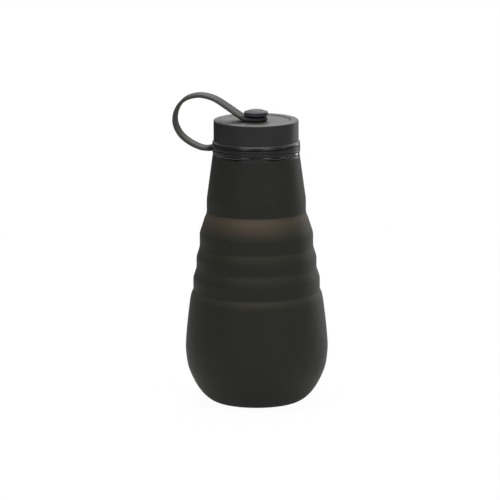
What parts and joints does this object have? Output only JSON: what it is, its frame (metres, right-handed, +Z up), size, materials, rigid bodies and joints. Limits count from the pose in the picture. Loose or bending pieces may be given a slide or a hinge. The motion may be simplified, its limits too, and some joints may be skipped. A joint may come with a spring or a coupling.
{
  "type": "collapsible drink bottle",
  "caption": "Soft silicone drink bottle that folds down into its own bowl, with a rigid threaded collar, a screw cap and a carrying strap looped from the neck to a stud on the cap.",
  "frame": {"origin": "on the bottle's axis, in the flat underside that it stands on", "axes": "+Z up along the bottle's axis towards the cap; the strap's loop lies in the XZ plane and points to -X; the picture looks at it roughly along +Y"},
  "size_m": [0.1031, 0.095, 0.2074],
  "materials": {
    "silicone_body": "matt silicone with a soft sheen",
    "silicone_web": "thin matt silicone that lets a little light through",
    "collar_plastic": "polished moulded plastic",
    "strap_silicone": "matt silicone",
    "cap_plastic": "fine matt moulded plastic",
    "seal_silicone": "soft silicone",
    "stud_plastic": "satin moulded plastic"
  },
  "bodies": {
    "bowl": {"pot": "silicone_body", "pot_roll_wall": "silicone_web"},
    "lower_ring": {"lower_fold_ring": "silicone_body", "lower_fold_web": "silicone_web"},
    "middle_ring": {"middle_fold_ring": "silicone_body", "middle_fold_web": "silicone_web"},
    "upper_ring": {"upper_fold_ring": "silicone_body", "neck_fold_web": "silicone_web"},
    "neck": {"neck_sleeve": "silicone_body", "neck_collar": "collar_plastic", "strap_ring": "strap_silicone"},
    "strap_end": {"strap_loop": "strap_silicone", "strap_eyelet": "strap_silicone"},
    "cap": {"cap_shell": "cap_plastic", "cap_seal": "seal_silicone", "strap_stud": "stud_plastic"}
  },
  "joints": [
    {"name": "bowl_fold", "type": "slide", "parent": "bowl", "child": "lower_ring", "axis": [0, 0, -1], "range_m": [0, 0.052], "deforming": ["pot_roll_wall"]},
    {"name": "lower_ring_fold", "type": "slide", "parent": "lower_ring", "child": "middle_ring", "axis": [0, 0, -1], "range_m": [0, 0.0148], "deforming": ["lower_fold_web"]},
    {"name": "middle_ring_fold", "type": "slide", "parent": "middle_ring", "child": "upper_ring", "axis": [0, 0, -1], "range_m": [0, 0.0142], "deforming": ["middle_fold_web"]},
    {"name": "neck_fold", "type": "slide", "parent": "upper_ring", "child": "neck", "axis": [0, 0, -1], "range_m": [0, 0.0282], "deforming": ["neck_fold_web"]},
    {"name": "cap_lift", "type": "slide", "parent": "neck", "child": "strap_end", "axis": [0, 0, 1], "range_m": [0, 0.006]},
    {"name": "cap_turn", "type": "hinge", "parent": "strap_end", "child": "cap", "pos_m": [0, 0, 0.1742], "axis": [0, 0, 1], "range_deg": [0, 540]}
  ],
  "couplings": [
    {"joint": "cap_lift", "follows": "cap_turn", "m_per_rad": 0.00063662}
  ]
}
